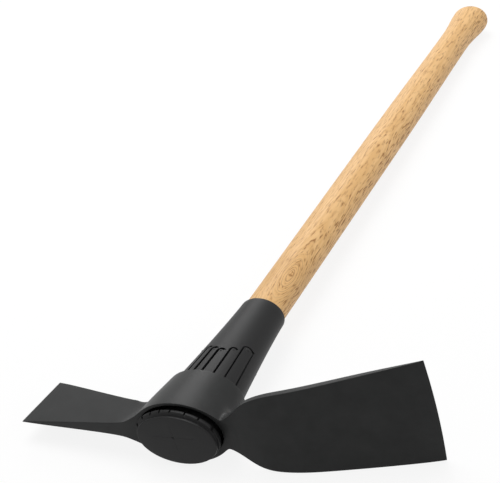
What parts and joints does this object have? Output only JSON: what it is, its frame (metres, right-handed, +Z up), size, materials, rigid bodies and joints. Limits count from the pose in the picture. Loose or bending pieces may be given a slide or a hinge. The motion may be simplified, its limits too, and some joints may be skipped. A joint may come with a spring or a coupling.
{
  "type": "cutter mattock",
  "caption": "Hand mattock: forged head with an upright cutter blade and a wide hoe blade, on an oval wooden handle with a moulded socket sleeve.",
  "frame": {"origin": "middle of the floor area that the tool covers as it lies, on the floor", "axes": "+Y along the handle from the head to the knob, +X along the head towards the hoe, +Z up; the tool lies on the hoe's lower corner, the eye's rim and the knob"},
  "size_m": [0.3842, 0.9244, 0.1],
  "materials": {
    "coated_steel": "black coating, satin",
    "black_polymer": "fine moulded texture, satin",
    "varnished_wood": "clear varnish",
    "bright_steel": "plain"
  },
  "bodies": {
    "handle": {"wood_handle": "varnished_wood", "socket_sleeve": "black_polymer", "retaining_pin": "bright_steel"},
    "head": {"mattock_head": "coated_steel"}
  },
  "joints": [
    {"name": "head_slide", "type": "slide", "parent": "handle", "child": "head", "axis": [0, 0.9999, -0.0133], "range_m": [0, 0.94]}
  ]
}
